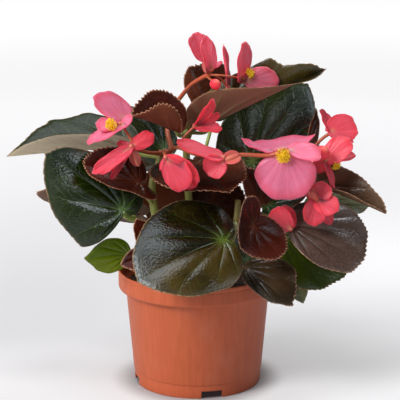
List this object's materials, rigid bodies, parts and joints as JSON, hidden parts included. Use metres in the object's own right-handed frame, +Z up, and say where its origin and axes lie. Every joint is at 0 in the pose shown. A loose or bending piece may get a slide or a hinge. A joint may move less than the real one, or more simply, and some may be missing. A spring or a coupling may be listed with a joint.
{
  "type": "potted begonia",
  "caption": "Bushy flowering begonia with dark asymmetric leaves and coral-pink blooms on orange stalks, growing in a round terracotta-coloured nursery pot.",
  "frame": {"origin": "middle of the pot foot, on the surface that the pot stands on", "axes": "+Z up along the pot axis, -Y towards the front of the plant, +X to the right seen from the front"},
  "size_m": [0.3029, 0.2101, 0.2898],
  "materials": {
    "pot": "terracotta-coloured moulded plastic, satin",
    "soil": "dark moist peat compost",
    "stem": "fleshy green stem, satin",
    "flower_stalk": "orange-red flower stalk, satin",
    "leaf_dark_green": "very dark green leaf, glossy",
    "leaf_bronze": "bronze-brown leaf, satin",
    "leaf_fresh_green": "fresh green leaf, satin",
    "petal_coral": "coral-pink petal, satin",
    "petal_pink": "pale pink petal, satin",
    "stamens": "yellow, matt"
  },
  "bodies": {
    "root": {"bloom_centre": "petal_coral", "bloom_heart": "petal_coral", "bloom_left_lower": "petal_coral", "bloom_left_open": "petal_pink", "bloom_right_big": "petal_pink", "bloom_right_bud": "petal_coral", "bloom_right_low": "petal_coral", "bloom_right_middle": "petal_coral", "bloom_right_upper": "petal_coral", "bloom_top_left": "petal_coral", "bloom_top_right": "petal_coral", "bloom_top_thin": "petal_coral", "bloom_upper_middle": "petal_coral", "bud_right": "petal_coral", "bud_top": "petal_coral", "leaf_back_centre_high": "leaf_bronze", "leaf_back_centre_low": "leaf_dark_green", "leaf_back_left_high": "leaf_dark_green", "leaf_back_left_low": "leaf_dark_green", "leaf_back_right_high": "leaf_dark_green", "leaf_back_right_low": "leaf_dark_green", "leaf_behind_upper": "leaf_dark_green", "leaf_centre_wide": "leaf_bronze", "leaf_cupped": "leaf_bronze", "leaf_front_low": "leaf_dark_green", "leaf_inner_left": "leaf_bronze", "leaf_inner_low": "leaf_dark_green", "leaf_inner_middle": "leaf_bronze", "leaf_inner_right": "leaf_bronze", "leaf_left_big": "leaf_dark_green", "leaf_left_far": "leaf_bronze", "leaf_left_long": "leaf_dark_green", "leaf_left_mid": "leaf_bronze", "leaf_low_left_bronze": "leaf_bronze", "leaf_low_left_green": "leaf_fresh_green", "leaf_low_right": "leaf_bronze", "leaf_low_right_small": "leaf_fresh_green", "leaf_right_back_big": "leaf_dark_green", "leaf_right_bronze": "leaf_bronze", "leaf_right_dark": "leaf_dark_green", "leaf_right_green": "leaf_dark_green", "leaf_right_long": "leaf_bronze", "leaf_right_sliver": "leaf_bronze", "leaf_right_under": "leaf_bronze", "leaf_top_right": "leaf_dark_green", "leaf_upper_round": "leaf_bronze", "pot": "pot", "soil": "soil", "stalks_middle": "flower_stalk", "stalks_right": "flower_stalk", "stalks_top": "flower_stalk", "stamens_left_open": "stamens", "stamens_right_big": "stamens", "stamens_right_middle": "stamens", "stamens_top_right": "stamens", "stem_back": "stem", "stem_centre": "stem", "stem_front": "stem", "stem_left": "stem", "stem_right": "stem"}
  },
  "joints": []
}
